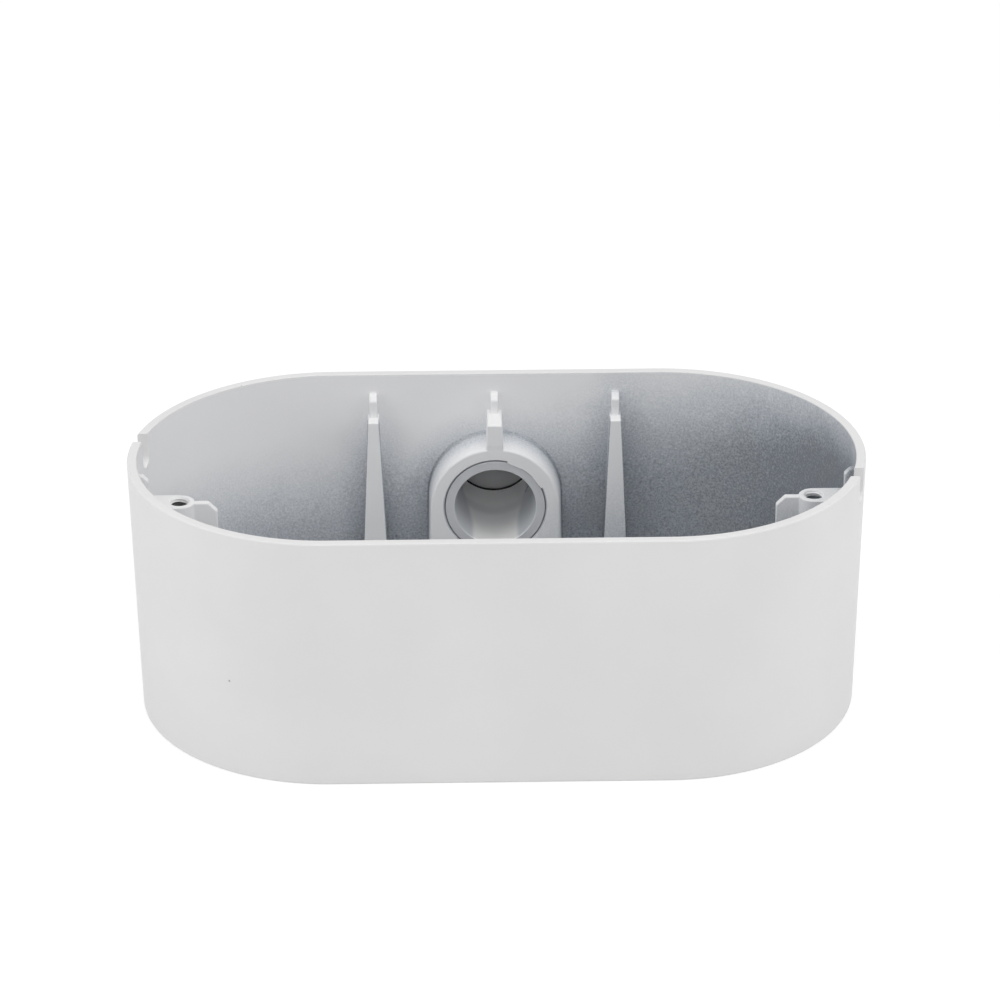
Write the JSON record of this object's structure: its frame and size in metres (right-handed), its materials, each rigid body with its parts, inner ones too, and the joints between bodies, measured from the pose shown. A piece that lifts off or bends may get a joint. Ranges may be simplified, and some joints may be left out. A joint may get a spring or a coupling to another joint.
{
  "type": "camera junction box",
  "caption": "Open cast metal junction box with round ends for a security camera: lid posts, lid ribs, rim slots, wall fixing holes and a capped conduit entry.",
  "frame": {"origin": "centre of the base, in the middle of the four wall fixing holes, on the face that meets the wall", "axes": "+X along the long side, +Y towards the cable entry, +Z out of the open side"},
  "size_m": [0.19, 0.1277, 0.069],
  "materials": {
    "coated_casting": "satin",
    "bare_alloy": "satin",
    "dark_alloy": "satin",
    "black_rubber": "matte",
    "grey_rubber": "matte"
  },
  "bodies": {
    "root": {"box_body": "coated_casting", "entry_sleeve": "bare_alloy", "hub_gasket": "black_rubber", "conduit_hub": "bare_alloy", "cap_seal_ring": "black_rubber", "screw_cap": "dark_alloy", "floor_grommet": "grey_rubber"}
  },
  "joints": []
}
